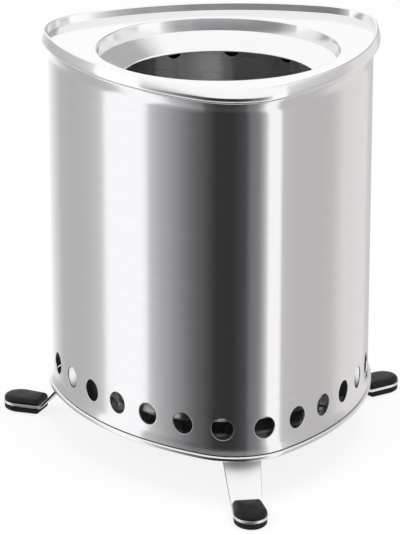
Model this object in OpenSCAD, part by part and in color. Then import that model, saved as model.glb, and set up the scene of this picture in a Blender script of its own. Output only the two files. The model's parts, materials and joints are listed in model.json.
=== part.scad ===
// Portable fire pit in sheet steel: a rounded three-sided sleeve round a fire drum,
// a stepped top ring, a lift-out ash pan and grate, and three folding legs.
// The ground is z = 0, and the front leg points along -Y.

/* [Plan outline] */
// Outer radius of the fire drum, round which the pit is laid out
drum_radius = 103; // [95:1:110]
// Drum's wall to the sleeve's outer face at the middle of a side
side_gap = 26; // [23:0.5:34]
// How much further out the sleeve reaches at a corner than at the middle of a side
corner_out = 31; // [26:1:38]
// Radius of the sleeve's three corners
corner_radius = 60; // [52:1:66]

/* [Heights] */
// Ground to the underside of the base bead
ground_clearance = 42; // [40:1:60]
// Underside of the base bead to the flat of the top ring
body_height = 328; // [200:1:400]

/* [Sleeve] */
// Thickness of the sleeve's sheet
shell_sheet = 1.2; // [0.8:0.1:2]
// Vent holes in each third of the sleeve
vents_per_third = 8; // [3:1:9]
// Diameter of a vent hole
vent_bore = 20; // [10:0.5:24]
// Base bead's underside to the middle of the vent holes
vent_height = 29; // [20:1:60]
// How far the sleeve's bottom edge turns out
hem_width = 2.2; // [1:0.1:4]

/* [Base pan] */
// Thickness of the base pan's sheet
base_sheet = 1.2; // [1:0.1:2]
// Radius of the rolled bead at the rim
bead_radius = 2.1; // [1.5:0.1:3]
// Middle of the bead outside the sleeve's face
bead_out = 1.2; // [0:0.1:2]
// Height of the floor's underside above the bead's underside
floor_rise = 8; // [6:0.5:14]
// Width of the shelf that the sleeve stands on
shelf_width = 5.5; // [4.5:0.5:6.5]

/* [Top ring] */
// Thickness of the ring's sheet
ring_sheet = 1.2; // [0.8:0.1:1.6]
// Drum's wall to the round step in the ring outside it
step_gap = 5; // [4:0.5:9]
// How much the step's wall leans in
step_lean = 2.5; // [1:0.1:5]
// Depth of the step
step_depth = 12; // [6:0.5:20]
// Drum's wall to the edge of the fire opening inside it
opening_inset = 17.5; // [14:0.5:24]
// Depth of the opening's edge below the flat
opening_depth = 25; // [21:0.1:34]
// Height of the turned-down edge of the opening
opening_edge = 2; // [1.5:0.1:6]
// Outer radius of the lip's rolled crown
lip_radius = 2.3; // [2:0.1:4]
// Height of the lip above the flat
lip_height = 7.5; // [5:0.1:12]
// Drop of the lip's outer edge below the flat
lip_drop = 3.8; // [3.5:0.1:8]
// Lip's crown line outside the sleeve's face
lip_out = 3.8; // [3.4:0.1:6]
// Length of the centring tabs under the ring
tab_length = 12; // [6:1:24]
// Width of the centring tabs along the corner, in degrees
tab_angle = 20; // [10:1:40]
// Foot of a centring tab under the ring
tab_foot = 10; // [6:1:20]

/* [Fire drum] */
// Thickness of the drum's sheet
drum_sheet = 1; // [0.8:0.1:2]
// Gap between the drum's lower edge and the floor
drum_gap = 5.8; // [3:0.2:8]
// Air holes under the drum's top edge
air_holes = 12; // [6:1:16]
// Diameter of these air holes
air_bore = 15.5; // [8:0.5:20]
// Drum's top edge to the middle of the air holes
air_drop = 12; // [11:0.5:30]
// Floor to the top of the ledge inside the drum
ledge_height = 20.8; // [16:0.2:40]
// How far the ledge reaches under the ash pan's rim
ledge_cover = 5; // [3.5:0.1:8]
// Depth of the ledge's welded flange
ledge_flange = 9; // [5:0.5:12]

/* [Ash pan and grate] */
// Thickness of the ash pan's sheet
ash_sheet = 1; // [0.8:0.1:1.6]
// Gap round the ash pan's rim as it is lifted through the fire opening
ash_lift_gap = 1.5; // [1:0.1:3]
// Height of the rim's outer lip
ash_lip = 5; // [3.5:0.1:8]
// Gap between the ash pan's wall and the ledge's hole
ash_side_gap = 2; // [1:0.1:4]
// Gap between the ash pan's bottom and the floor
ash_floor_gap = 3.3; // [2:0.1:6]
// Air holes in the ash pan's wall
ash_holes = 12; // [6:1:18]
// Diameter of the ash pan's air holes
ash_bore = 9; // [5:0.5:10]
// Thickness of the grate
grate_sheet = 2; // [1.5:0.1:3]
// Diameter of the holes in the grate
grate_bore = 8; // [5:0.5:9]
// Diameter of the finger hole in the grate's middle
grate_finger_bore = 20; // [18:1:24]

/* [Legs] */
// Thickness of the leg's strip
leg_sheet = 2.4; // [1.5:0.1:3]
// Width of the strip at its hinge
leg_hinge_width = 34; // [30:1:40]
// Hinge's distance inside the sleeve's corner
hinge_inset = 19; // [18.5:0.5:22]
// Outer radius of the rolled hinge eye
eye_radius = 4; // [3.5:0.1:4.5]
// Radius of the hinge pin
pin_radius = 2; // [1.5:0.1:2.2]
// Radius of the pin's heads
pin_head_radius = 3.2; // [2.8:0.1:3.6]
// Thickness of the bracket's sheet
bracket_sheet = 1.5; // [1:0.1:2]
// Length of the bracket's plate inside the hinge line
bracket_tail = 15; // [13:0.5:20]
// Radius of a rivet
rivet_radius = 1.5; // [1:0.1:2]
// Radius of a rivet's head
rivet_head_radius = 3; // [2.4:0.1:3.4]
// Thickness of a rivet's or pin's head
rivet_head = 1; // [0.6:0.1:1.4]

/* [Feet] */
// End of the foot outside the sleeve's corner
foot_out = 55; // [50:1:70]
// Length of the foot
foot_length = 41; // [36:1:50]
// Width of the foot at its back edge
foot_back_width = 25; // [22:0.5:29]
// Width of the foot at its widest
foot_width = 29; // [26:0.5:34]
// Length of the foot's rounded nose
foot_nose = 17; // [14:0.5:20]
// Thickness of the sole
sole_height = 6.5; // [4.5:0.1:8]
// Thickness of the cap
cap_height = 5.5; // [5:0.1:9]
// Inset of the cap's top edge
cap_taper = 2.5; // [1:0.1:4]
// How far the steel strip stands proud round the foot
band_out = 0.8; // [0.4:0.1:1.5]
// Radius of the foot's screw
screw_radius = 1.6; // [1:0.1:2]
// Radius of the screw's head
screw_head_radius = 3.5; // [2.5:0.1:4]
// Thickness of the screw's head
screw_head = 1.8; // [1:0.1:2]

/* [Standoffs] */
// Width of a standoff round the drum, in degrees
standoff_angle = 14; // [8:1:24]
// Length of a standoff's foot on the floor
standoff_foot = 14; // [12:0.5:16]

/* [Fits] */
// Running gap round a pin
pin_fit = 0.08; // [0.02:0.01:0.1]
// Gap between fixed pieces where one fits round another
seat_gap = 0.1; // [0.05:0.05:0.3]
// Gap round pieces that lift off or swing
lift_gap = 0.4; // [0.3:0.05:1]

/* [Hidden] */
$fn = 96;

// Directions of the three corners, the front one first
CORNERS = [-90, 30, 150];
FRONT = 0;
RIGHT = 1;
LEFT = 2;

// The outline is three corner arcs and three side arcs, each tangent to the next.
// A side arc's centre lies behind the middle, so that both arcs share their normal where they meet.
side_reach = drum_radius + side_gap;
corner_reach = side_reach + corner_out;
corner_centre = corner_reach - corner_radius;
side_inset = side_reach - corner_radius;
side_centre = (corner_centre*corner_centre - side_inset*side_inset)/(2*side_inset - corner_centre);
side_radius = side_reach + side_centre;
side_half = atan2(corner_centre*sin(60), corner_centre*cos(60) + side_centre);
corner_half = 60 - side_half;
corner_arc = 2*corner_half*PI/180*corner_radius;
side_arc = 2*side_half*PI/180*side_radius;
third = corner_arc + side_arc;

// The bead's crown stays this far under the shelf's top, so that the sleeve stands on a flat
bead_lift = base_sheet/4;

// Heights, from the ground up
shelf_top = ground_clearance + 2*bead_radius + bead_lift;
floor_under = ground_clearance + floor_rise;
floor_top = floor_under + base_sheet;
drum_bottom = floor_top + drum_gap;
ledge_top = floor_top + ledge_height;
flat_top = ground_clearance + body_height;
flat_under = flat_top - ring_sheet;
opening_top = flat_top - opening_depth;
step_radius = drum_radius + step_gap;
opening_radius = drum_radius - opening_inset;
shelf_slope = (opening_depth - step_depth)/(step_radius - step_lean - opening_radius);
ring_sheet_upright = ring_sheet*sqrt(1 + shelf_slope*shelf_slope);
shelf_at_drum = opening_top + (drum_radius - drum_sheet - opening_radius)*shelf_slope;
drum_top = shelf_at_drum - ring_sheet_upright - lift_gap;

// The foot's strip and the hinge line, as seen from the side: outward, up
hinge_line = [corner_reach - hinge_inset, floor_under - bracket_sheet - lift_gap - eye_radius];
foot_end = corner_reach + foot_out;
foot_back = foot_end - foot_length;
strip_end = [foot_back, sole_height + leg_sheet/2];
strip_run = strip_end - hinge_line;
strip_way = strip_run/norm(strip_run);
strip_up = [-strip_way[1], strip_way[0]];
leg_top_edge = hinge_line + strip_up*leg_sheet/2;
leg_low_edge = hinge_line - strip_up*leg_sheet/2;

// The bracket: half its inside width, and where its outer web starts
bracket_inside = leg_hinge_width/2 + lift_gap;
bracket_outside = bracket_inside + bracket_sheet;
web_start = hinge_line[0] + eye_radius + 2*bracket_sheet;
ear_radius = eye_radius + bracket_sheet;
rivet_reach = hinge_line[0] - (bracket_tail + eye_radius)/2;
rivet_side = bracket_outside/2;

// The ash pan and the grate
ash_rim_radius = opening_radius - ash_lift_gap;
ledge_radius = ash_rim_radius - ledge_cover;
ash_wall_radius = ledge_radius - ash_side_gap;
ash_bottom = floor_top + ash_floor_gap;
grate_bottom = ledge_top + ash_sheet;
grate_radius = ash_rim_radius - ash_sheet - lift_gap;
grate_land = grate_radius - ash_wall_radius;

// The lip stands on the flat just outside the sleeve
lip_middle = flat_top + lip_height - lip_radius;
lip_low = flat_top - lip_drop + lip_radius;

// Origin: under the middle of the whole part's box, which the front foot and the back lip bound
axis_y = (foot_end + band_out - side_reach - lip_out - lip_radius)/2;

// Length by which every cut runs past what it cuts
overrun = shell_sheet;

function way(a) = [cos(a), sin(a)];

// Height of the strip's upper face at a distance from the pit's middle
function strip_face(x) = leg_top_edge[1] + (x - leg_top_edge[0])*strip_way[1]/strip_way[0];

// Point and outward direction on the outline, at a length s past the middle of the corner at angle a
function outline_spot(a, s) =
  s < corner_arc/2 ? corner_spot(a, a + turn(s, corner_radius))
  : s < corner_arc/2 + side_arc ? side_spot(a + 60, a + corner_half + turn(s - corner_arc/2, side_radius))
  : corner_spot(a + 120, a + 120 - turn(third - s, corner_radius));
function turn(length, r) = length/r*180/PI;
function corner_spot(a, t) = [corner_centre*way(a) + corner_radius*way(t), t];
function side_spot(a, t) = [-side_centre*way(a) + side_radius*way(t), t];

// Everything is placed round the pit's upright axis
module on_axis() {
  translate([0, axis_y, 0]) children();
}

// A corner's own frame: +X points out of the corner
module at_corner(k) {
  on_axis() rotate([0, 0, CORNERS[k]]) children();
}

// The outline as a flat shape, moved outwards by o
module outline(o) {
  reach = corner_centre + (corner_radius + o)*cos(corner_half);
  union() {
    for (a = CORNERS) translate(corner_centre*way(a)) circle(r = corner_radius + o);
    intersection() {
      rotate(CORNERS[FRONT] + 180) circle(r = 2*reach, $fn = 3);
      intersection_for (a = CORNERS) translate(side_centre*way(a)) circle(r = side_radius + o);
    }
  }
}

// A band of the outline, between two distances from the sleeve's outer face
module outline_band(inner, outer) {
  difference() {
    outline(outer);
    outline(inner);
  }
}

// Carries a flat profile, drawn as distance outside the sleeve and height, round the outline
module round_outline() {
  for (a = CORNERS) {
    rotate([0, 0, a]) translate([corner_centre, 0, 0]) rotate([0, 0, -corner_half])
      rotate_extrude(angle = 2*corner_half) translate([corner_radius, 0]) children();
    rotate([0, 0, a + 60]) translate([-side_centre, 0, 0]) rotate([0, 0, -side_half])
      rotate_extrude(angle = 2*side_half) translate([side_radius, 0]) children();
  }
}

// Sleeve: upright wall, turned-out hem at the bottom, a row of round vents
module outer_shell() color("silver") on_axis() difference() {
  union() {
    translate([0, 0, shelf_top]) linear_extrude(flat_under - shelf_top) outline_band(-shell_sheet, 0);
    translate([0, 0, shelf_top]) linear_extrude(shell_sheet) outline_band(-shell_sheet, hem_width);
  }
  for (a = CORNERS, i = [0:vents_per_third - 1]) {
    spot = outline_spot(a, (i + 1/2)*third/vents_per_third);
    translate([spot[0][0], spot[0][1], ground_clearance + vent_height]) rotate([0, 90, spot[1]])
      cylinder(d = vent_bore, h = 4*(shell_sheet + overrun), center = true);
  }
}

// Base pan: rolled bead, shelf for the sleeve, raised floor with holes for the rivets
module base_pan() color("lightgray") on_axis() difference() {
  union() {
    translate([0, 0, shelf_top - base_sheet]) linear_extrude(base_sheet) outline_band(-shelf_width, bead_out);
    translate([0, 0, shelf_top - base_sheet]) linear_extrude(floor_top - shelf_top + base_sheet)
      outline_band(-shelf_width, base_sheet - shelf_width);
    translate([0, 0, floor_under]) linear_extrude(base_sheet) outline(-shelf_width);
    round_outline() translate([bead_out, ground_clearance + bead_radius]) circle(r = bead_radius, $fn = 48);
  }
  for (a = CORNERS) rotate([0, 0, a]) {
    for (side = [-1, 1]) translate([rivet_reach, side*rivet_side, floor_under - overrun])
      cylinder(r = rivet_radius + seat_gap, h = base_sheet + 2*overrun, $fn = 24);
    rotate([0, 0, 60]) translate([standoff_rivet_reach, 0, floor_under - overrun])
      cylinder(r = rivet_radius + seat_gap, h = base_sheet + 2*overrun, $fn = 24);
  }
}

// Fire drum: open cylinder with a row of round air holes under its top edge
module burn_drum() color("dimgray") on_axis() difference() {
  translate([0, 0, drum_bottom]) cylinder(r = drum_radius, h = drum_top - drum_bottom);
  translate([0, 0, drum_bottom - overrun])
    cylinder(r = drum_radius - drum_sheet, h = drum_top - drum_bottom + 2*overrun);
  for (i = [0:air_holes - 1]) rotate([0, 0, (i + 1/2)*360/air_holes])
    translate([drum_radius, 0, drum_top - air_drop]) rotate([0, 90, 0])
      cylinder(d = air_bore, h = 2*(air_bore + drum_sheet), center = true);
  for (a = CORNERS) rotate([0, 0, a + 60]) translate([drum_radius, 0, drum_rivet_height]) rotate([0, 90, 0])
    cylinder(r = rivet_radius + seat_gap, h = 4*(drum_sheet + overrun), center = true, $fn = 24);
}

// Ledge inside the drum, with a flange welded to the drum's wall
module grate_ledge() color("gray") on_axis() rotate_extrude() polygon([
  [ledge_radius, ledge_top - ash_sheet],
  [ledge_outer - ash_sheet, ledge_top - ash_sheet],
  [ledge_outer - ash_sheet, ledge_top - ledge_flange],
  [ledge_outer, ledge_top - ledge_flange],
  [ledge_outer, ledge_top],
  [ledge_radius, ledge_top]]);
ledge_outer = drum_radius - drum_sheet - seat_gap;

// Ash pan: a dish that hangs on the ledge by its rim, with a ring of air holes in its wall
module ash_pan() color("darkgray") on_axis() difference() {
  rotate_extrude() polygon([
    [0, ash_bottom],
    [ash_wall_radius, ash_bottom],
    [ash_wall_radius, ledge_top],
    [ash_rim_radius, ledge_top],
    [ash_rim_radius, ledge_top + ash_lip],
    [ash_rim_radius - ash_sheet, ledge_top + ash_lip],
    [ash_rim_radius - ash_sheet, ledge_top + ash_sheet],
    [ash_wall_radius - ash_sheet, ledge_top + ash_sheet],
    [ash_wall_radius - ash_sheet, ash_bottom + ash_sheet],
    [0, ash_bottom + ash_sheet]]);
  for (i = [0:ash_holes - 1]) rotate([0, 0, i*360/ash_holes])
    translate([ash_wall_radius, 0, (ash_bottom + ledge_top)/2]) rotate([0, 90, 0])
      cylinder(d = ash_bore, h = 2*ash_bore, center = true);
}

// Grate: round plate with rings of holes, lying on the ash pan's rim
module grate() color("gray") on_axis() translate([0, 0, grate_bottom]) difference() {
  cylinder(r = grate_radius, h = grate_sheet);
  translate([0, 0, -overrun]) cylinder(d = grate_finger_bore, h = grate_sheet + 2*overrun);
  for (ring = [0:len(GRATE_RINGS) - 1], i = [0:GRATE_RINGS[ring] - 1])
    rotate([0, 0, i*360/GRATE_RINGS[ring]]) translate([grate_ring_reach(ring), 0, -overrun])
      cylinder(d = grate_bore, h = grate_sheet + 2*overrun, $fn = 32);
}
GRATE_RINGS = [8, 16, 24];
function grate_ring_reach(ring) =
  grate_finger_bore/2 + (ring + 1/2)*(grate_radius - grate_land - grate_finger_bore/2)/len(GRATE_RINGS);

// Top ring: flat with a rolled lip, then a round step and a shelf that slopes down to the opening
module top_ring() color("gainsboro") on_axis() union() {
  translate([0, 0, flat_under]) linear_extrude(ring_sheet) difference() {
    outline(lip_out - lip_radius + ring_sheet/2);
    circle(r = step_radius);
  }
  round_outline() lip_profile();
  rotate_extrude() funnel_profile();
}

// The lip's section: inner leg, rolled crown, outer leg and curled lower edge
module lip_profile() {
  translate([lip_out - lip_radius, flat_under]) square([ring_sheet, lip_middle - flat_under]);
  translate([lip_out + lip_radius - ring_sheet, lip_low]) square([ring_sheet, lip_middle - lip_low]);
  translate([lip_out, lip_middle]) intersection() {
    rolled_edge();
    translate([-lip_radius, 0]) square([2*lip_radius, lip_radius]);
  }
  translate([lip_out, lip_low]) intersection() {
    rolled_edge();
    translate([0, -lip_radius]) square(lip_radius);
  }
}

// Section of a rolled sheet edge
module rolled_edge() difference() {
  circle(r = lip_radius, $fn = 48);
  circle(r = lip_radius - ring_sheet, $fn = 48);
}

// Section of the step, the sloping shelf and the turned-down edge of the opening
module funnel_profile() polygon([
  [step_radius, flat_top],
  [step_radius - step_lean, flat_top - step_depth],
  [opening_radius, opening_top],
  [opening_radius, opening_top - opening_edge],
  [opening_radius + ring_sheet, opening_top - opening_edge],
  [opening_radius + ring_sheet, opening_top - ring_sheet_upright + ring_sheet*shelf_slope],
  [step_radius - step_lean + ring_sheet, flat_top - step_depth - ring_sheet_upright + ring_sheet*shelf_slope],
  [step_radius + ring_sheet, flat_under],
  [step_radius + ring_sheet, flat_top]]);

// Centring tab: welded under the flat in a corner, hanging just inside the sleeve
module ring_tab(k) color("gray") at_corner(k) translate([corner_centre, 0, 0])
  rotate([0, 0, -tab_angle/2]) rotate_extrude(angle = tab_angle) polygon([
    [tab_face, flat_under],
    [tab_face, flat_under - tab_length],
    [tab_face - ring_sheet, flat_under - tab_length],
    [tab_face - ring_sheet, flat_under - ring_sheet],
    [tab_face - tab_foot, flat_under - ring_sheet],
    [tab_face - tab_foot, flat_under]]);
tab_face = corner_radius - shell_sheet - lift_gap;

// Standoff: angle piece with its foot on the floor and its web on the drum
module drum_standoff(k) color("gray") at_corner(k) difference() {
  rotate([0, 0, 60 - standoff_angle/2]) rotate_extrude(angle = standoff_angle) polygon([
    [standoff_face, floor_top],
    [standoff_face + standoff_foot, floor_top],
    [standoff_face + standoff_foot, floor_top + base_sheet],
    [standoff_face + base_sheet, floor_top + base_sheet],
    [standoff_face + base_sheet, standoff_top],
    [standoff_face, standoff_top]]);
  rotate([0, 0, 60]) {
    translate([standoff_rivet_reach, 0, floor_top - overrun])
      cylinder(r = rivet_radius + seat_gap, h = base_sheet + 2*overrun, $fn = 24);
    translate([standoff_face, 0, drum_rivet_height]) rotate([0, 90, 0])
      cylinder(r = rivet_radius + seat_gap, h = 4*(base_sheet + overrun), center = true, $fn = 24);
  }
}
standoff_face = drum_radius + seat_gap;
standoff_rivet_reach = standoff_face + (standoff_foot + base_sheet)/2;
drum_rivet_height = ledge_top + 2*rivet_head_radius;
standoff_top = drum_rivet_height + 2*rivet_head_radius;

// A rivet through a stack of sheets: heads on both faces, stack measured upwards from z = 0
module rivet(stack) {
  translate([0, 0, -rivet_head]) cylinder(r = rivet_head_radius, h = rivet_head, $fn = 24);
  translate([0, 0, -rivet_head]) cylinder(r = rivet_radius, h = stack + 2*rivet_head, $fn = 24);
  translate([0, 0, stack]) cylinder(r = rivet_head_radius, h = rivet_head, $fn = 24);
}

// Rivets of the standoffs: one down through the floor, one sideways through the drum
module standoff_rivets() color("lightgray") for (k = [FRONT:LEFT]) at_corner(k) rotate([0, 0, 60]) {
  translate([standoff_rivet_reach, 0, floor_under]) rivet(2*base_sheet);
  translate([inner_head_reach, 0, drum_rivet_height]) rotate([0, 90, 0])
    rivet(standoff_face + base_sheet - inner_head_reach);
}

// A rivet's flat head stands off the drum's round inside by what the wall curves over the head
inner_wall = drum_radius - drum_sheet;
inner_head_reach = sqrt(inner_wall*inner_wall - rivet_head_radius*rivet_head_radius) - seat_gap/2;

// Hinge bracket: folded box with a plate under the floor, two ears, and a web that stops the leg
module hinge_bracket(k) color("silver") at_corner(k) difference() {
  union() {
    translate([hinge_line[0] - bracket_tail, -bracket_outside, floor_under - bracket_sheet])
      cube([web_start + bracket_sheet - hinge_line[0] + bracket_tail, 2*bracket_outside, bracket_sheet]);
    translate([web_start, -bracket_outside, web_bottom])
      cube([bracket_sheet, 2*bracket_outside, floor_under - web_bottom]);
    for (side = [-1, 1]) translate([0, side*(bracket_inside + bracket_sheet/2), 0]) rotate([90, 0, 0])
      linear_extrude(bracket_sheet, center = true) polygon([
        [hinge_line[0] - 2*ear_radius, floor_under - bracket_sheet/2],
        [hinge_line[0] - ear_radius/2, hinge_line[1] - ear_radius],
        [hinge_line[0] + ear_radius/2, hinge_line[1] - ear_radius],
        [web_start + bracket_sheet/2, web_bottom],
        [web_start + bracket_sheet/2, floor_under - bracket_sheet/2]]);
  }
  translate([hinge_line[0], 0, hinge_line[1]]) rotate([90, 0, 0])
    cylinder(r = pin_radius + pin_fit, h = 2*(bracket_outside + overrun), center = true, $fn = 32);
  for (side = [-1, 1]) translate([rivet_reach, side*rivet_side, floor_under - bracket_sheet - overrun])
    cylinder(r = rivet_radius + seat_gap, h = bracket_sheet + 2*overrun, $fn = 24);
}
web_bottom = strip_face(web_start) + lift_gap;

// Rivets that hold the brackets under the floor
module bracket_rivets() color("lightgray") for (k = [FRONT:LEFT]) at_corner(k)
  for (side = [-1, 1]) translate([rivet_reach, side*rivet_side, floor_under - bracket_sheet])
    rivet(bracket_sheet + base_sheet);

// Hinge pin with a head at each end
module hinge_pin(k) color("lightgray") at_corner(k) translate([hinge_line[0], 0, hinge_line[1]])
  rotate([90, 0, 0]) {
    cylinder(r = pin_radius, h = 2*bracket_outside, center = true, $fn = 32);
    for (side = [-1, 1]) translate([0, 0, side*(bracket_outside + rivet_head/2)])
      cylinder(r = pin_head_radius, h = rivet_head, center = true, $fn = 32);
  }

// The foot's plan, moved outwards by o: straight back edge, rounded nose
function foot_plan(o) = concat(
  [[foot_back + leg_sheet, -foot_back_width/2 - o]],
  [for (t = [-90:10:90]) [foot_middle + (foot_nose + o)*cos(t), (foot_width/2 + o)*sin(t)]],
  [[foot_back + leg_sheet, foot_back_width/2 + o]]);
foot_middle = foot_end - foot_nose;

// Leg: one strip, rolled into the hinge eye, sloping out and down, then flat through the foot
module leg_plate(k) color("whitesmoke") at_corner(k) difference() {
  intersection() {
    rotate([90, 0, 0]) linear_extrude(leg_hinge_width, center = true) leg_side();
    linear_extrude(flat_top) union() {
      polygon(foot_plan(band_out));
      polygon([
        [foot_back + 2*leg_sheet, foot_back_width/2 + band_out],
        [hinge_line[0] + eye_radius, leg_hinge_width/2],
        [hinge_line[0] - 2*eye_radius, leg_hinge_width/2],
        [hinge_line[0] - 2*eye_radius, -leg_hinge_width/2],
        [hinge_line[0] + eye_radius, -leg_hinge_width/2],
        [foot_back + 2*leg_sheet, -foot_back_width/2 - band_out]]);
    }
  }
  translate([foot_middle, 0, 0]) cylinder(r = screw_radius + seat_gap, h = flat_top, $fn = 24);
}

// The strip as seen from the side, with the pin's hole through its eye
module leg_side() difference() {
  union() {
    translate(hinge_line) circle(r = eye_radius, $fn = 48);
    polygon([
      leg_low_edge,
      strip_meets(leg_low_edge, sole_height),
      [foot_end + band_out, sole_height],
      [foot_end + band_out, sole_height + leg_sheet],
      strip_meets(leg_top_edge, sole_height + leg_sheet),
      leg_top_edge]);
  }
  translate(hinge_line) circle(r = pin_radius + pin_fit, $fn = 32);
}

// Where a line along the strip from a point comes down to a height
function strip_meets(from, height) = from + strip_way*(height - from[1])/strip_way[1];

// Cap on top of the strip's end, narrower at its top
module foot_cap(k) color("#26272b") at_corner(k) difference() {
  hull() {
    translate([0, 0, sole_height + leg_sheet]) linear_extrude(cap_height/2) polygon(foot_plan(0));
    translate([0, 0, sole_height + leg_sheet]) linear_extrude(cap_height) polygon(foot_plan(-cap_taper));
  }
  translate([foot_middle, 0, sole_height])
    cylinder(r = screw_radius + seat_gap, h = cap_screw_depth + leg_sheet, $fn = 24);
}
cap_screw_depth = cap_height*2/3;

// Sole under the strip, with a recess for the screw's head
module foot_pad(k) color("#151518") at_corner(k) difference() {
  linear_extrude(sole_height) polygon(foot_plan(0));
  translate([foot_middle, 0, -overrun])
    cylinder(r = screw_radius + seat_gap, h = sole_height + 2*overrun, $fn = 24);
  translate([foot_middle, 0, -overrun])
    cylinder(r = screw_head_radius + lift_gap, h = sole_recess + overrun, $fn = 32);
}
sole_recess = sole_height/2;

// Screw that clamps sole, strip and cap together
module foot_screw(k) color("lightgray") at_corner(k) translate([foot_middle, 0, 0]) {
  translate([0, 0, sole_recess - screw_head]) cylinder(r = screw_head_radius, h = screw_head, $fn = 32);
  translate([0, 0, sole_recess - screw_head/2])
    cylinder(r = screw_radius, h = screw_tip - sole_recess + screw_head/2, $fn = 24);
}
screw_tip = sole_height + cap_screw_depth + leg_sheet - seat_gap;

outer_shell();
base_pan();
burn_drum();
grate_ledge();
ash_pan();
grate();
top_ring();
ring_tab(FRONT);  // ring_tab_front
ring_tab(RIGHT);  // ring_tab_right
ring_tab(LEFT);  // ring_tab_left
drum_standoff(FRONT);  // drum_standoff_1
drum_standoff(RIGHT);  // drum_standoff_2
drum_standoff(LEFT);  // drum_standoff_3
standoff_rivets();
hinge_bracket(FRONT);  // hinge_bracket_front
hinge_bracket(RIGHT);  // hinge_bracket_right
hinge_bracket(LEFT);  // hinge_bracket_left
bracket_rivets();
hinge_pin(FRONT);  // hinge_pin_front
hinge_pin(RIGHT);  // hinge_pin_right
hinge_pin(LEFT);  // hinge_pin_left
leg_plate(FRONT);  // leg_plate_front
leg_plate(RIGHT);  // leg_plate_right
leg_plate(LEFT);  // leg_plate_left
foot_cap(FRONT);  // foot_cap_front
foot_cap(RIGHT);  // foot_cap_right
foot_cap(LEFT);  // foot_cap_left
foot_pad(FRONT);  // foot_pad_front
foot_pad(RIGHT);  // foot_pad_right
foot_pad(LEFT);  // foot_pad_left
foot_screw(FRONT);  // foot_screw_front
foot_screw(RIGHT);  // foot_screw_right
foot_screw(LEFT);  // foot_screw_left
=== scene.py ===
"""Looks of the portable fire pit: sheet steel pieces, feet, floor, studio light and camera.

Everything is in metres in the CAD frame: the ground is z = 0 and the front leg points along -Y.
"""
import json

import bmesh
import bpy
import numpy as np
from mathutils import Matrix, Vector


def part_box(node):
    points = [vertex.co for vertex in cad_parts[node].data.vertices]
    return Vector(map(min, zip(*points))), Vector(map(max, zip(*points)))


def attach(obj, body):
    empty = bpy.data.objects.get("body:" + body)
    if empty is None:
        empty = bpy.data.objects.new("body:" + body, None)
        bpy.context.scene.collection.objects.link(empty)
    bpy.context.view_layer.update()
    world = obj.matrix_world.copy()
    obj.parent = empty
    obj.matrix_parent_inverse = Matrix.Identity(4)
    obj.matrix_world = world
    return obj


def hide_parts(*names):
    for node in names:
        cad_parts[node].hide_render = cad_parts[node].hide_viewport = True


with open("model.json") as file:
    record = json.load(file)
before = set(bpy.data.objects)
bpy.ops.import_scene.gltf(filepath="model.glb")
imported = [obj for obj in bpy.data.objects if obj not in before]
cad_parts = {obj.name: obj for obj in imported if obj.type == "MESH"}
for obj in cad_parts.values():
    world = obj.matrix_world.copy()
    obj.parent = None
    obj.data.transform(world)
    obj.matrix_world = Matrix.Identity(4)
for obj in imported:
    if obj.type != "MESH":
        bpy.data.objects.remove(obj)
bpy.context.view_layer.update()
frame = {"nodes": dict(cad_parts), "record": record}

# Base pan. One pressed sheet of stainless steel under the pit: its rim is rolled into a bead, the
# sleeve stands on the shelf inside the bead, and the raised floor carries the drum and the legs.
drum_low, drum_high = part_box("burn_drum")
pan_low, pan_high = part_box("base_pan")
drum_radius = (drum_high.x - drum_low.x)/2
axis_y = (drum_low.y + drum_high.y)/2
side_gap = 0.026
corner_out = 0.031
corner_radius = 0.060
side_reach = drum_radius + side_gap
corner_reach = side_reach + corner_out
corner_centre = corner_reach - corner_radius
side_inset = side_reach - corner_radius
side_centre = (corner_centre**2 - side_inset**2)/(2*side_inset - corner_centre)
side_radius = side_reach + side_centre
sixth_turn = np.pi/3
side_half = np.arctan2(corner_centre*np.sin(sixth_turn), corner_centre*np.cos(sixth_turn) + side_centre)
corner_half = sixth_turn - side_half
corner_arc = 2*corner_half*corner_radius
side_arc = 2*side_half*side_radius
third = corner_arc + side_arc
pan_sheet = 0.0012
bead_radius = 0.0021
bead_out = 0.0012
bead_bend = bead_radius - pan_sheet/2
rim_bend = 0.0009
riser_bend = 0.0013
bead_middle = pan_low.z + bead_radius
shelf_height = pan_low.z + 2*bead_radius + pan_sheet/4
riser_middle = -0.0049
floor_middle = pan_high.z - pan_sheet/2
floor_start = -0.030
floor_shares = [1, 0.7, 0.4, 0.15, 0]
stations = 480


def round_the_pit(along, out, height):
    """Points on the pit's rounded three-sided plan, moved outwards by out.

    along is walked from the middle of the front corner, counter-clockwise. A third of the walk is half
    a corner arc, a side arc and half a corner arc, each tangent to the next: a point is its arc's
    centre plus (radius + out) times the arc's direction there.
    """
    third_number, walked = np.divmod(along, third)
    corner = -np.pi/2 + 2*sixth_turn*third_number
    on_first = walked < corner_arc/2
    on_last = walked > corner_arc/2 + side_arc
    turned = np.where(on_first, walked/corner_radius, corner_half + (walked - corner_arc/2)/side_radius)
    turned = np.where(on_last, 2*sixth_turn - (third - walked)/corner_radius, turned)
    on_corner = on_first | on_last
    centre_way = corner + np.where(on_first, 0, np.where(on_last, 2*sixth_turn, sixth_turn))
    centre_reach = np.where(on_corner, corner_centre, -side_centre)
    reach = np.where(on_corner, corner_radius, side_radius) + out
    x = centre_reach*np.cos(centre_way) + reach*np.cos(corner + turned)
    y = centre_reach*np.sin(centre_way) + reach*np.sin(corner + turned)
    return np.stack(np.broadcast_arrays(x, y + axis_y, height), axis=-1)


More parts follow.
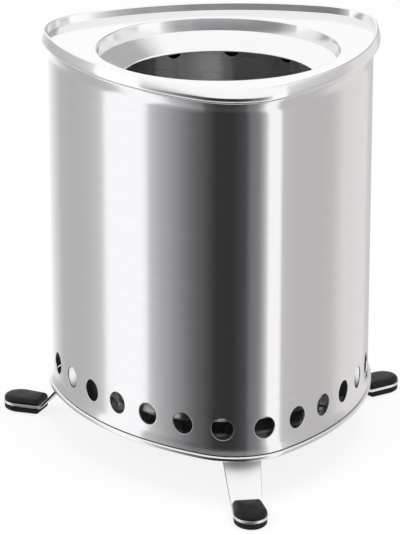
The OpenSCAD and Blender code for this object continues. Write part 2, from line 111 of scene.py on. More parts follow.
def bent_line(corners, bends, steps=7):
    """A line through corners, each rounded by its bend radius.

    A bend starts bend*tan(turn/2) before its corner and turns at that radius onto the next straight.
    Points that fall together, where one bend ends as the next starts, are kept once.
    """
    corners = np.array(corners, float)
    line = [corners[:1]]
    for before, corner, after, bend in zip(corners, corners[1:], corners[2:], bends):
        way_in = (corner - before)/np.linalg.norm(corner - before)
        way_out = (after - corner)/np.linalg.norm(after - corner)
        turn = np.arctan2(way_in[0]*way_out[1] - way_in[1]*way_out[0], way_in @ way_out)
        side = np.sign(turn)*np.array([-way_in[1], way_in[0]])
        start = corner - way_in*bend*np.tan(abs(turn)/2)
        angle = np.linspace(0, abs(turn), steps)[:, None]
        line.append(start + bend*(np.sin(angle)*way_in + (1 - np.cos(angle))*side))
    line = np.concatenate(line + [corners[-1:]])
    apart = np.linalg.norm(np.diff(line, axis=0), axis=1) > 1e-6
    return line[np.concatenate([[True], apart])]


def sheet_faces(line, sheet):
    """Both faces of a bent sheet, half its thickness to the left and right of its middle line.

    At a point between two straights the offset runs along the sum of their normals, lengthened so
    that the sheet keeps its thickness.
    """
    way = np.diff(line, axis=0)
    way /= np.linalg.norm(way, axis=1)[:, None]
    normal = np.stack([-way[:, 1], way[:, 0]], axis=1)
    first, last = np.concatenate([normal[:1], normal]), np.concatenate([normal, normal[-1:]])
    offset = (first + last)/(1 + (first*last).sum(axis=1))[:, None]
    half = np.broadcast_to(sheet, len(line))[:, None]/2
    return line + offset*half, line - offset*half


def carry(place, section, along):
    """A section (out, height) carried along: row i of the grid is section point i at every station."""
    return place(along[None, :], section[:, :1], section[:, 1:])


def draw_in(ring, shares):
    """Rings drawn in to the pit's axis: each is the share of the way from the axis to the first ring."""
    middle = np.array([0, axis_y, ring[0, 2]])
    return middle + (ring - middle)*np.array(shares)[:, None, None]


def add_piece(name, grids, material, body, slot, *nodes):
    """Makes a mesh of grids of points (rows, columns, closed across the rows, closed along the columns).

    Each cell of a grid is a quad. Edges that grids share are merged and the faces turned outwards.
    """
    points, quads, count = [], [], 0
    for grid, closed_rows, closed_columns in grids:
        rows, columns = grid.shape[:2]
        index = count + np.arange(rows*columns).reshape(rows, columns)
        index = np.concatenate([index, index[:1]]) if closed_rows else index
        index = np.concatenate([index, index[:, :1]], axis=1) if closed_columns else index
        quad = np.stack([index[:-1, :-1], index[1:, :-1], index[1:, 1:], index[:-1, 1:]], axis=-1)
        points.append(grid.reshape(-1, 3))
        quads.append(quad.reshape(-1, 4))
        count += rows*columns
    mesh = bpy.data.meshes.new(name)
    mesh.from_pydata(np.concatenate(points), [], np.concatenate(quads))
    shape = bmesh.new()
    shape.from_mesh(mesh)
    bmesh.ops.remove_doubles(shape, verts=shape.verts, dist=1e-6)
    bmesh.ops.dissolve_degenerate(shape, edges=shape.edges, dist=1e-7)
    bmesh.ops.recalc_face_normals(shape, faces=shape.faces)
    shape.to_mesh(mesh)
    shape.free()
    mesh.shade_smooth()
    mesh.set_sharp_from_angle(angle=np.radians(38))
    piece = bpy.data.objects.new(name, mesh)
    bpy.context.scene.collection.objects.link(piece)
    mesh.materials.append(material)
    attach(piece, body)
    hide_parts(*nodes)
    return piece


def node_adder(tree):
    """A function that adds a node to the tree with its settings, and links or sets each of its inputs."""
    def add(kind, inputs=None, **settings):
        node = tree.nodes.new(kind)
        for key, value in settings.items():
            setattr(node, key, value)
        for key, value in (inputs or {}).items():
            if isinstance(value, bpy.types.NodeSocket):
                tree.links.new(value, node.inputs[key])
            else:
                node.inputs[key].default_value = value
        return node
    return add


def new_material(name):
    """An empty node material, its Principled shader, and functions that add and link nodes in it."""
    material = bpy.data.materials.new(name)
    material.use_nodes = True
    tree = material.node_tree
    return material, tree.nodes["Principled BSDF"], node_adder(tree), tree.links.new


def noise(add, place, scale, detail, roughness=0.6):
    """Soft noise that changes scale times a unit of place, with detail finer layers on it."""
    node = add("ShaderNodeTexNoise", {"Vector": place, "Scale": scale, "Detail": detail,
                                      "Roughness": roughness})
    return node.outputs[0]


def remap(add, value, low, high, new_low=0.0, new_high=1.0):
    """Value carried in proportion from low..high to new_low..new_high, and held at its ends."""
    node = add("ShaderNodeMapRange", {"Value": value, "From Min": low, "From Max": high,
                                      "To Min": new_low, "To Max": new_high})
    return node.outputs[0]


def worked_out(add, kind, *values):
    """One step of arithmetic on values, numbers or sockets."""
    return add("ShaderNodeMath", dict(enumerate(values)), operation=kind).outputs[0]


def scaled(add, colour, share):
    """A colour, written or linked, times a share."""
    return add("ShaderNodeVectorMath", {0: colour, "Scale": share}, operation="SCALE").outputs[0]


def brushed_steel(name, colour, roughness, grain_scale, grain_depth, streak=0.015, smudge=0.02):
    """Brushed stainless sheet: fine streaks from stretched noise in roughness, tone and bump.

    grain_scale is how often the pattern changes per metre along X, Y and Z, so the streaks run the way
    that it changes least. A second noise, six times coarser, gives the faint bands of the belt that
    brushed the sheet, and broad soft noise adds handling marks to the roughness. streak is how far
    the tone swings, and smudge how much the marks dull the sheet.
    """
    material, shader, add, link = new_material(name)
    place = add("ShaderNodeTexCoord").outputs["Object"]
    stretched = add("ShaderNodeMapping", {"Vector": place, "Scale": grain_scale}).outputs[0]
    grain = noise(add, stretched, 1, 4)
    belt = noise(add, stretched, 1/6, 3, roughness=0.55)
    marks = noise(add, place, 22, 4)
    tone = remap(add, worked_out(add, "ADD", grain, belt), 0.7, 1.3, 1 - streak, 1 + streak)
    even = remap(add, grain, 0.3, 0.7, roughness*0.9, roughness*1.1)
    bump = add("ShaderNodeBump", {"Height": grain, "Distance": grain_depth, "Strength": 1})
    link(scaled(add, colour, tone), shader.inputs["Base Color"])
    link(worked_out(add, "MULTIPLY_ADD", marks, smudge, even), shader.inputs["Roughness"])
    link(bump.outputs[0], shader.inputs["Normal"])
    shader.inputs["Metallic"].default_value = 1
    return material, shader, add, link


pan_steel = brushed_steel("pan_steel", (0.84, 0.84, 0.845), 0.17, (9, 9, 700), 0.000004)[0]
sleeve_stations = np.arange(stations)*third*3/stations
pan_line = bent_line([(floor_start, floor_middle), (riser_middle, floor_middle),
                      (riser_middle, shelf_height - pan_sheet/2),
                      (bead_out + bead_bend, shelf_height - pan_sheet/2),
                      (bead_out + bead_bend, bead_middle - bead_bend),
                      (bead_out - bead_bend, bead_middle - bead_bend),
                      (bead_out - bead_bend, bead_middle + bead_bend/2)],
                     [riser_bend, riser_bend, rim_bend, rim_bend, rim_bend])
pan_upper, pan_under = sheet_faces(pan_line, pan_sheet)
pan_rim = carry(round_the_pit, np.concatenate([pan_upper, pan_under[::-1]]), sleeve_stations)
add_piece("base_pan_pressing", [(pan_rim, False, True), (draw_in(pan_rim[0], floor_shares), False, True),
                                (draw_in(pan_rim[-1], floor_shares), False, True)],
          pan_steel, "root", "brushed_sheet", "base_pan")

# Fire drum. A rolled cylinder of steel sheet, open at both ends, dulled and tinted by heat, with
# twelve round air holes punched under its top edge. It is riveted to three standoffs on the floor.
# Inside, its soot clouds are stretched upright, and their pale streaks are painted reflection.
drum_sheet = 0.001
air_holes = 12
air_radius = 0.00775
air_depth = 0.012
air_height = drum_high.z - air_depth
air_half_height = 0.0105
punched_edge = 0.0003
drum_side_points = 12
drum_edge_length = 0.0005
drum_flare = 0.0022
drum_flare_length = 0.012
clean_sheet = (0.85, 0.85, 0.85, 1)
smoked_sheet_with_painted_streak = (0.675, 0.666, 0.675)


def round_the_axis(radius):
    """Placing on a cylinder: out is measured from the radius, and along is an arc length on it."""
    def place(along, out, height):
        angle = along/radius
        x, y = (radius + out)*np.cos(angle), (radius + out)*np.sin(angle)
        return np.stack(np.broadcast_arrays(x, y + axis_y, height), axis=-1)
    return place


def punched_band(place, length, holes, hole_radius, middle, half_height, sheet, side_points, first=0.0):
    """Grids of a band of sheet with a row of round holes, one cell of the band to a hole.

    A cell is rings of points that go from its border to the hole over the outer face, through the
    hole and back over the inner face. On a face a ring is border*share + circle*(1 - share), and in
    the hole a circle whose edges are rounded over.
    """
    half_width = length/holes/2
    step = np.linspace(-1, 1, side_points + 1)[:-1]
    flat = np.ones(side_points)
    border = np.concatenate([np.stack([step, -flat], axis=1), np.stack([flat, step], axis=1),
                             np.stack([-step, flat], axis=1), np.stack([-flat, -step], axis=1)])
    border = border*[half_width, half_height]
    angle = -0.75*np.pi + np.arange(4*side_points)*np.pi/2/side_points
    circle = np.stack([np.cos(angle), np.sin(angle)], axis=1)
    round_over = np.radians([0, 30, 60, 90])
    shares = np.array([1, 0.75, 0.5, 0.3, 0.15, 0.05])
    hole_shares = (1 - shares)[:, None, None]
    face = border[None]*shares[:, None, None] + hole_shares*circle*(hole_radius + punched_edge)
    edge = circle*(hole_radius + punched_edge*(1 - np.sin(round_over)))[:, None, None]
    edge_depth = punched_edge*(1 - np.cos(round_over))
    rings = np.concatenate([face, edge, edge[::-1], face[::-1]])
    depth = np.concatenate([0*shares, edge_depth, sheet - edge_depth[::-1], 0*shares + sheet])
    grids = []
    for hole in range(holes):
        hole_along = first + (hole + 0.5)*length/holes
        cell = place(hole_along + rings[..., 0], -depth[:, None], middle + rings[..., 1])
        grids.append((cell, False, True))
    return grids


def edge_section(start, end, sheet, flare, flare_length):
    """Section of a sheet wall from start to its rounded edge at end: outer face, half round, inner face.

    Over its last flare_length the wall moves outwards by flare*share**2, share being the part done.
    """
    way = np.sign(end - start)
    share = np.linspace(0, 1, 9)
    height = end - way*(sheet/2 + flare_length*(1 - share))
    out = flare*share**2
    turn = np.linspace(0, np.pi, 7)[1:-1]
    half_round = np.stack([flare - sheet/2 + sheet/2*np.cos(turn),
                           height[-1] + way*sheet/2*np.sin(turn)], axis=1)
    outer, inner = np.stack([out, height], axis=1), np.stack([out - sheet, height], axis=1)
    return np.concatenate([[(0, start)], outer, half_round, inner[::-1], [(-sheet, start)]])


def colour_ramp(add, share, *stops):
    """A colour that runs through stops, each a place from 0 to 1 and a colour."""
    node = add("ShaderNodeValToRGB", {"Fac": share})
    elements = node.color_ramp.elements
    for element, (place, colour) in zip(elements, (stops[0], stops[-1])):
        element.position = place
        element.color = (*colour, 1)
    for place, colour in stops[1:-1]:
        elements.new(place).color = (*colour, 1)
    return node.outputs[0]


def burnt_steel(name, colour, roughness, cloud_scale, contrast, cloud_place=(0, 0, 0)):
    """Steel dulled by fire: cloudy noise of soot and heat tint darkens and lightens its colour.

    cloud_scale is how often the clouds change per metre along X, Y and Z, contrast their strength, and
    cloud_place the point of the noise that falls on the origin. On the drum the clouds are stretched
    upright and placed so that their pale streaks are painted reflection.
    """
    material, shader, add, link = new_material(name)
    place = add("ShaderNodeTexCoord").outputs["Object"]
    streaks = add("ShaderNodeMapping", {"Vector": place, "Scale": (5, 5, 500)}).outputs[0]
    grain = noise(add, streaks, 1, 5)
    stretched = add("ShaderNodeMapping", {"Vector": place, "Location": cloud_place, "Scale": cloud_scale})
    cloud = noise(add, stretched.outputs[0], 1, 4, roughness=0.55)
    sooty = np.array(colour)*(1 - contrast)
    tinted = np.array(colour)*(1 + contrast/2)*(1, 1, 0.99)
    bump = add("ShaderNodeBump", {"Height": grain, "Distance": 0.0000001, "Strength": 1})
    link(colour_ramp(add, cloud, (0.40, sooty), (0.60, tinted)), shader.inputs["Base Color"])
    link(remap(add, grain, 0.3, 0.7, roughness*0.97, roughness*1.03), shader.inputs["Roughness"])
    link(bump.outputs[0], shader.inputs["Normal"])
    shader.inputs["Metallic"].default_value = 0.95
    return material, shader, add, link


def level_grain(shader, add, link, share):
    """Stretches the highlights of a wall round the Z axis up and down, as level brush lines do."""
    level = add("ShaderNodeTangent", direction_type="RADIAL", axis="Z")
    link(level.outputs[0], shader.inputs["Tangent"])
    shader.inputs["Anisotropic"].default_value = share
    shader.inputs["Anisotropic Rotation"].default_value = 0.25


def by_side(add, inside, outside):
    """A number that is inside on faces that look at the pit's axis, and outside on the others.

    A face looks at the axis where its normal dotted with the level vector from the axis is below zero.
    """
    here = add("ShaderNodeTexCoord")
    from_axis = add("ShaderNodeVectorMath", {0: here.outputs["Object"], 1: (0, axis_y, 0)},
                    operation="SUBTRACT")
    level = add("ShaderNodeVectorMath", {0: from_axis.outputs[0], 1: (1, 1, 0)}, operation="MULTIPLY")
    facing = add("ShaderNodeVectorMath", {0: here.outputs["Normal"], 1: level.outputs[0]},
                 operation="DOT_PRODUCT")
    return remap(add, facing.outputs["Value"], -0.05, -0.02, inside, outside)


def mixed_colour(add, share, first, second):
    """The first colour where share is 0, the second where it is 1, and a mix between."""
    return add("ShaderNodeMix", {0: share, 6: first, 7: second}, data_type="RGBA").outputs[2]


drum_steel, drum_shader, drum_add, drum_link = burnt_steel(
    "drum_steel", smoked_sheet_with_painted_streak, 0.27, (18, 18, 0.6), 0.6, cloud_place=(1.37, 0.63, 2.1))
level_grain(drum_shader, drum_add, drum_link, 0.9)
# The inner faces take the clouds: soot and heat tint, and pale upright streaks placed by cloud_place that
# are painted reflection. The outer faces are clean sheet
drum_soot_and_painted_streak = drum_shader.inputs["Base Color"].links[0].from_socket
drum_tone_with_painted_streak = mixed_colour(drum_add, by_side(drum_add, 0, 1), drum_soot_and_painted_streak, clean_sheet)
drum_link(drum_tone_with_painted_streak, drum_shader.inputs["Base Color"])
drum_length = 2*np.pi*drum_radius
drum_stations = np.arange(air_holes*drum_side_points)*drum_length/(air_holes*drum_side_points)
drum_place = round_the_axis(drum_radius)
drum_grids = punched_band(drum_place, drum_length, air_holes, air_radius, air_height, air_half_height,
                          drum_sheet, drum_side_points)
for wall in (edge_section(air_height + air_half_height, drum_high.z, drum_sheet, 0, drum_edge_length),
             edge_section(air_height - air_half_height, drum_low.z, drum_sheet, drum_flare,
                          drum_flare_length)):
    drum_grids.append((carry(drum_place, wall, drum_stations), False, True))
add_piece("fire_drum_wall", drum_grids, drum_steel, "root", "fire_sheet", "burn_drum")

# Ledge, ash pan and grate. The ledge is an angle ring welded inside the drum. The ash pan hangs on it
# by its rim and lifts out with the grate, a punched plate that lies on the rim.
dish_steel = burnt_steel("ash_pan_steel", (0.46, 0.45, 0.44), 0.38, (18, 18, 18), 0.15)[0]
grate_steel = burnt_steel("grate_steel", (0.34, 0.33, 0.33), 0.45, (18, 18, 18), 0.15)[0]
dish_low, dish_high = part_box("ash_pan")
dish_sheet = 0.001
dish_wall_radius = 0.077
dish_rim_radius = (dish_high.x - dish_low.x)/2
dish_rim_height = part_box("grate_ledge")[1].z
dish_bend = 0.0025
dish_rim_bend = 0.001
dish_hole_radius = 0.0045
dish_holes = 12
dish_side_points = 8
dish_points = dish_holes*dish_side_points
dish_half_height = 0.0055
dish_middle = (dish_low.z + dish_rim_height)/2
dish_length = 2*np.pi*dish_wall_radius
dish_place = round_the_axis(dish_wall_radius)
dish_first = -dish_length/dish_holes/2
dish_stations = dish_first + np.arange(dish_points)*dish_length/dish_points
dish_rim_out = dish_rim_radius - dish_wall_radius - dish_sheet/2
dish_upper_line = bent_line([(-dish_sheet/2, dish_middle + dish_half_height),
                             (-dish_sheet/2, dish_rim_height + dish_sheet/2),
                             (dish_rim_out, dish_rim_height + dish_sheet/2),
                             (dish_rim_out, dish_high.z)], [dish_rim_bend, dish_rim_bend])
dish_floor_line = bent_line([(-dish_sheet/2, dish_middle - dish_half_height),
                             (-dish_sheet/2, dish_low.z + dish_sheet/2),
                             (-dish_wall_radius/2, dish_low.z + dish_sheet/2)], [dish_bend])
dish_grids = punched_band(dish_place, dish_length, dish_holes, dish_hole_radius, dish_middle,
                          dish_half_height, dish_sheet, dish_side_points, first=dish_first)
rim_outer, rim_inner = sheet_faces(dish_upper_line, dish_sheet)
rim_section = np.concatenate([rim_outer, rim_inner[::-1]])
dish_grids.append((carry(dish_place, rim_section, dish_stations), False, True))
for face in sheet_faces(dish_floor_line, dish_sheet):
    rows = carry(dish_place, face, dish_stations)
    dish_grids.append((rows, False, True))
    dish_grids.append((draw_in(rows[-1], [1, 0.5, 0]), False, True))
add_piece("ash_pan_dish", dish_grids, dish_steel, "ash_tray", "fire_sheet", "ash_pan")
for node, steel in (("grate_ledge", drum_steel), ("grate", grate_steel)):
    frame["nodes"][node].data.materials.clear()
    frame["nodes"][node].data.materials.append(steel)

# Sleeve. The visible body: one sheet of brushed stainless steel rolled into the rounded three-sided
# shape, flared out to a hem that stands on the base pan and to a bead under the ring, with 24 vents.
shell_low, shell_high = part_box("outer_shell")
shell_sheet = 0.0012
vents = 24
vent_radius = 0.010
vent_rise = 0.029
vent_height = pan_low.z + vent_rise
vent_half_height = 0.0125
wall_row_count = 24
hem_out = 0.0014
hem_height = 0.0064
hem_bend = 0.026
flare_out = 0.0025
flare_bend = 0.020
flare_start = 0.0135
flare_edge = 0.0046
turn_in_bends = [0.0009, 0.001]
wall_middle = -shell_sheet/2
sleeve_steel, sleeve_shader, sleeve_add, sleeve_link = brushed_steel(
    "sleeve_steel", (0.80, 0.80, 0.80), 0.13, (3, 3, 900), 0.0000025, streak=0.018, smudge=0.01)
level_grain(sleeve_shader, sleeve_add, sleeve_link, 0.93)
sleeve_clean = sleeve_shader.inputs["Base Color"].links[0].from_socket
sleeve_even = sleeve_shader.inputs["Roughness"].links[0].from_socket
# The inner faces are rougher, and their colour is darkened to 0.35 as painted shade inside the sleeve
sleeve_tone_with_painted_inner_shade = scaled(sleeve_add, sleeve_clean, by_side(sleeve_add, 0.35, 1))
sleeve_dull = worked_out(sleeve_add, "MAXIMUM", sleeve_even, by_side(sleeve_add, 0.65, 0))
sleeve_link(sleeve_tone_with_painted_inner_shade, sleeve_shader.inputs["Base Color"])
sleeve_link(sleeve_dull, sleeve_shader.inputs["Roughness"])
top_line = bent_line([(wall_middle, vent_height + vent_half_height),
                      (wall_middle, shell_high.z - flare_start),
                      (wall_middle + flare_out, shell_high.z - flare_edge),
                      (wall_middle, shell_high.z - shell_sheet),
                      (wall_middle - 3*shell_sheet, shell_high.z - shell_sheet/2)],
                     [flare_bend, *turn_in_bends])
wall_heights = np.linspace(vent_height + vent_half_height, shell_high.z - 2*flare_start, wall_row_count)
top_line = np.concatenate([wall_heights[:, None]*[0, 1] + [wall_middle, 0], top_line[1:]])
hem_line = bent_line([(wall_middle, vent_height - vent_half_height),
                      (wall_middle, shell_low.z + hem_height),
                      (wall_middle + hem_out, shell_low.z + shell_sheet/2)], [hem_bend])
sleeve_grids = punched_band(round_the_pit, 3*third, vents, vent_radius, vent_height, vent_half_height,
                            shell_sheet, stations//vents)
for sleeve_line in (top_line, hem_line):
    left_face, right_face = sheet_faces(sleeve_line, shell_sheet)
    section = np.concatenate([left_face, right_face[::-1]])
    sleeve_grids.append((carry(round_the_pit, section, sleeve_stations), False, True))
add_piece("sleeve_wall", sleeve_grids, sleeve_steel, "root", "brushed_sheet", "outer_shell")

# Top ring. One spun and pressed sheet: a lip rolled over the sleeve's bead, a flat, a round step down
# and a shelf that slopes to the fire opening, whose edge is turned down. It lifts off.
ring_low, ring_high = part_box("top_ring")
ring_sheet = 0.0012
half_sheet = ring_sheet/2
flat_height = shell_high.z + half_sheet
flat_inside = -0.010
lip_drop = 0.0026
lip_reach = 0.0061
lip_low = shell_high.z - lip_drop + half_sheet
lip_high = ring_high.z - half_sheet
lip_curl = 0.0034
lip_outside = lip_reach - half_sheet
lip_skirt = 0.0031
lip_lean = 0.0002
lip_shoulder = 0.00325
lip_neck = 0.0021
lip_inside = 0.0011
lip_bends = [0.0013, 0.0025, 0.00065, 0.00065, 0.0012]
step_start = 0.006
step_out = 0.005
step_lean = 0.0025
step_depth = 0.012
step_radius = drum_radius + step_out
step_foot_radius = step_radius - step_lean
step_foot_height = flat_height + half_sheet - step_depth
step_bends = [0.0011, 0.0011, 0.0016]
opening_inset = 0.0175
opening_depth = 0.025
opening_radius = drum_radius - opening_inset
opening_height = flat_height + half_sheet - opening_depth
ring_steel, ring_shader, ring_add, ring_link = brushed_steel(
    "ring_steel", (0.87, 0.87, 0.875), 0.10, (60, 60, 60), 0.0000015, streak=0.01, smudge=0.01)
level_grain(ring_shader, ring_add, ring_link, 0.5)
lip_line = bent_line([(lip_curl, lip_low), (lip_outside, lip_low),
                      (lip_outside - lip_lean, lip_low + lip_skirt),
                      (lip_shoulder, lip_high), (lip_neck, lip_high), (lip_inside, flat_height),
                      (flat_inside, flat_height)], lip_bends)
opening_inside = opening_radius + half_sheet
step_line = bent_line([(step_radius + step_start, flat_height), (step_radius, flat_height),
                       (step_foot_radius + half_sheet, step_foot_height - half_sheet),
                       (opening_inside, opening_height - half_sheet),
                       (opening_inside, ring_low.z)], step_bends)
lip_left, lip_right = sheet_faces(lip_line, ring_sheet)
step_left, step_right = sheet_faces(step_line, ring_sheet)
section = np.concatenate([lip_left, step_left, step_right[::-1], lip_right[::-1]])
is_round = np.zeros(len(section), bool)
is_round[len(lip_left):len(lip_left) + 2*len(step_left)] = True
lip_grid = carry(round_the_pit, section, sleeve_stations)
rim_point = round_the_pit(sleeve_stations, 0, 0)
rim_angle = np.arctan2(rim_point[:, 1] - axis_y, rim_point[:, 0])
step_x, step_y = section[:, :1]*np.cos(rim_angle), axis_y + section[:, :1]*np.sin(rim_angle)
step_grid = np.stack(np.broadcast_arrays(step_x, step_y, section[:, 1:]), axis=-1)
ring_grid = np.where(is_round[:, None, None], step_grid, lip_grid)
add_piece("top_ring_pressing", [(ring_grid, True, True)], ring_steel, "ring", "ring_sheet", "top_ring")

# Legs. Each is a satin steel strip with rolled edges, bent into an eye round its hinge pin, that slopes
# out and down and runs flat through the foot, where its edge stands proud as a bright band.
record_joints = {joint["name"]: joint for joint in frame["record"]["behaviour"]["joints"]}
hinge_reach = axis_y - record_joints["leg_fold_front"]["pos_m"][1]
hinge_height = record_joints["leg_fold_front"]["pos_m"][2]
sole_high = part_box("foot_pad_front")[1].z
cap_low, cap_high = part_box("foot_cap_front")
strip_sheet = cap_low.z - sole_high
strip_edge = 0.0003
rolled_edge = 0.00085
band_out = 0.00075
foot_length = 0.041
foot_nose = 0.017
foot_end = axis_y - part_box("foot_pad_front")[0].y
foot_back = foot_end - foot_length
foot_middle = foot_end - foot_nose
rolled_end = foot_back - 0.004
square_start = foot_back + 0.002
foot_back_half = 0.0125
foot_half = 0.0145
strip_half = 0.017
strip_tip = foot_end + band_out
strip_low = sole_high + strip_sheet/2
knee_bend = 0.004
eye_radius = 0.004
eye_sheet = 0.0018
eye_bend = eye_radius - eye_sheet/2
eye_neck = 0.0082
eye_step_degrees = 12
eye_end_degrees = 300
nose_points = 16
neck_points = 8
# Where the strip's edges get painted shade: the tilt of their faces, the height it starts above the foot,
# and how dark it is
edge_tilts = (0.42, 0.62)
slope_heights = (0.009, 0.011)
edge_painted_shade = 0.12
strip_steel, strip_shader, strip_add, strip_link = brushed_steel(
    "leg_strip_steel", (0.90, 0.90, 0.905), 0.40, (200, 200, 30), 0.000002)
strip_here = strip_add("ShaderNodeTexCoord")
strip_normal = strip_add("ShaderNodeSeparateXYZ", {0: strip_here.outputs["Normal"]})
strip_place = strip_add("ShaderNodeSeparateXYZ", {0: strip_here.outputs["Object"]})
# Painted shade: the rolled edges, whose faces stand more upright than the slope does, are darkened in
# colour above the foot
tilt = worked_out(strip_add, "ABSOLUTE", strip_normal.outputs[2])
upright = remap(strip_add, tilt, *edge_tilts, 1, 0)
above_foot = remap(strip_add, strip_place.outputs[2], *slope_heights)
painted_shade_on_edge = worked_out(strip_add, "MULTIPLY", upright, above_foot)
edge_painted_shade_tone = remap(strip_add, painted_shade_on_edge, 0, 1, 1, edge_painted_shade)
strip_clean = strip_shader.inputs["Base Color"].links[0].from_socket
strip_link(scaled(strip_add, strip_clean, edge_painted_shade_tone), strip_shader.inputs["Base Color"])


def in_corner(heading, out, side, up):
    """Points in a corner's own frame: out from the pit's axis along heading, side to its left, and up."""
    x = out*np.cos(heading) - side*np.sin(heading)
    y = out*np.sin(heading) + side*np.cos(heading) + axis_y
    return np.stack(np.broadcast_arrays(x, y, up), axis=-1)


def leg_line():
    """Middle line of the strip as (out, up), from the nose to the end of the eye.

    The flat part is spaced by a sine towards the nose. The slope ends in a smooth step up onto the
    eye's circle, which it follows for most of a turn.
    """
    nose = foot_middle + (strip_tip - foot_middle)*np.sin(np.linspace(np.pi/2, 0, nose_points))
    nose_line = np.stack([nose, np.full(nose_points, strip_low)], axis=1)
    hinge = np.array([hinge_reach, hinge_height])
    knee = np.array([foot_back, strip_low])
    slope_way = (knee - hinge)/np.linalg.norm(knee - hinge)
    slope_up = np.array([-slope_way[1], slope_way[0]])
    slope_up *= np.sign(slope_up[1])
    bend = bent_line([nose_line[-1], knee, hinge + slope_way*eye_neck], [knee_bend], steps=9)[1:]
    rise = np.linspace(0, 1, neck_points + 1)[1:, None]
    neck = hinge + slope_way*eye_neck*(1 - rise) + slope_up*eye_bend*(3*rise**2 - 2*rise**3)
    roll = np.radians(np.arange(eye_step_degrees, eye_end_degrees, eye_step_degrees))[:, None]
    eye = hinge + eye_bend*(slope_up*np.cos(roll) - slope_way*np.sin(roll))
    return np.concatenate([nose_line, bend, neck, eye]), len(eye)


def leg_grid(heading):
    """The strip's section, with rounded edges, at each point of its middle line, closed at both ends.

    Half its width follows the slope's taper and the foot's sides, then an ellipse round the nose. The
    edges are rolled on the slope and nearly square on the foot.
    """
    line, eye_points = leg_line()
    out = line[:, 0]
    half = np.interp(out, [hinge_reach + eye_radius, foot_back + 2*strip_sheet, foot_middle],
                     [strip_half, foot_back_half + band_out, foot_half + band_out])
    nose_share = np.clip((out - foot_middle)/(strip_tip - foot_middle), 0, 1)
    half = half*np.sqrt(1 - nose_share**2)
    thick = np.full(len(line), strip_sheet)
    thick[-eye_points:] = eye_sheet
    thick[-eye_points - neck_points:-eye_points] = np.linspace(strip_sheet, eye_sheet, neck_points)
    upper, lower = sheet_faces(line, thick)
    normal = (upper - lower)/2
    edge = np.minimum(np.interp(out, [rolled_end, square_start], [rolled_edge, strip_edge]), half)
    turn = np.radians(np.array([-90, -60, -30, 0, 30, 60, 90]))
    share_of_edge = edge/(thick/2)
    rise = np.sign(turn)*(1 - share_of_edge[:, None]) + share_of_edge[:, None]*np.sin(turn)
    reach = (half - edge)[:, None] + edge[:, None]*np.cos(turn)
    rise = np.concatenate([rise, rise[:, ::-1]], axis=1)
    reach = np.concatenate([reach, -reach[:, ::-1]], axis=1)
    place = line[:, None, :] + normal[:, None, :]*rise[..., None]
    grid = in_corner(heading, place[..., 0], reach, place[..., 1])
    ends = grid[-1:].mean(axis=1, keepdims=True) + 0*grid[-1:]
    return np.concatenate([grid, ends])


# Feet. The strip's end is clamped between a black moulded cap, whose top edge is rounded over, and a
# ribbed rubber sole with a recess under it for the screw.
outline_points = 96
back_corner_bend = 0.003
cap_base = sole_high + strip_sheet
cap_profile = [(-0.0035, cap_base), (0, cap_base), (0, cap_base + 0.0020), (-0.0003, cap_base + 0.0029),
               (-0.0010, cap_base + 0.0038), (-0.0020, cap_base + 0.0046), (-0.0029, cap_base + 0.0051),
               (-0.0035, cap_high.z - 0.0002)]
cap_hub = [(0.0055, cap_high.z - 0.0001), (0, cap_high.z)]
groove = 0.0003
recess_radius = 0.0039
recess_height = 0.00325
sole_profile = [(-0.003, sole_high), (-0.0003, sole_high), (0, sole_high - 0.0003)]
for rib_height in (0.0048, 0.0034, 0.0020):
    sole_profile += [(0, rib_height + groove), (-groove, rib_height), (0, rib_height - groove)]
sole_profile += [(-0.0006, 0.0009), (-0.0016, 0.0002), (-0.003, 0)]
sole_hub = [(0.0045, 0), (recess_radius, 0.0002), (recess_radius, recess_height), (0, recess_height)]


def moulded(name, colour, roughness, gloss, grain_size, grain_depth):
    """Moulded black plastic or rubber: fine leather-like noise in the bump, and uneven pale dust."""
    material, shader, add, link = new_material(name)
    place = add("ShaderNodeTexCoord").outputs["Object"]
    skin = noise(add, place, 1/grain_size, 3, roughness=0.5)
    dust = noise(add, place, 60, 5)
    dusty = np.array(colour)*1.3 + 0.002
    bump = add("ShaderNodeBump", {"Height": skin, "Distance": grain_depth, "Strength": 0.6})
    link(colour_ramp(add, dust, (0.35, colour), (0.75, dusty)), shader.inputs["Base Color"])
    link(remap(add, dust, 0.3, 0.7, roughness*0.9, roughness*1.15), shader.inputs["Roughness"])
    link(bump.outputs[0], shader.inputs["Normal"])
    shader.inputs["Specular IOR Level"].default_value = gloss
    return material


def foot_outline():
    """The foot's plan as evenly spaced (out, side) points with their outward normals.

    A straight back edge with rounded corners, sides that widen to the middle and an elliptical nose,
    mirrored about the foot's line.
    """
    back = foot_back + strip_sheet
    turn = np.linspace(np.pi/2, 0, 25)[1:, None]
    nose = np.concatenate([foot_middle + (foot_end - foot_middle)*np.cos(turn),
                           foot_half*np.sin(turn)], axis=1)
    side = bent_line([(back, 0), (back, foot_back_half), (foot_middle, foot_half)], [back_corner_bend])
    half = np.concatenate([side, nose])
    whole = np.concatenate([half, half[-2:0:-1]*[1, -1], half[:1]])
    walked = np.concatenate([[0], np.cumsum(np.linalg.norm(np.diff(whole, axis=0), axis=1))])
    even = np.arange(outline_points)*walked[-1]/outline_points
    out, across = np.interp(even, walked, whole[:, 0]), np.interp(even, walked, whole[:, 1])
    outline = np.stack([out, across], axis=1)
    way = np.roll(outline, -1, axis=0) - np.roll(outline, 1, axis=0)
    way /= np.linalg.norm(way, axis=1)[:, None]
    return outline, np.stack([-way[:, 1], way[:, 0]], axis=1)


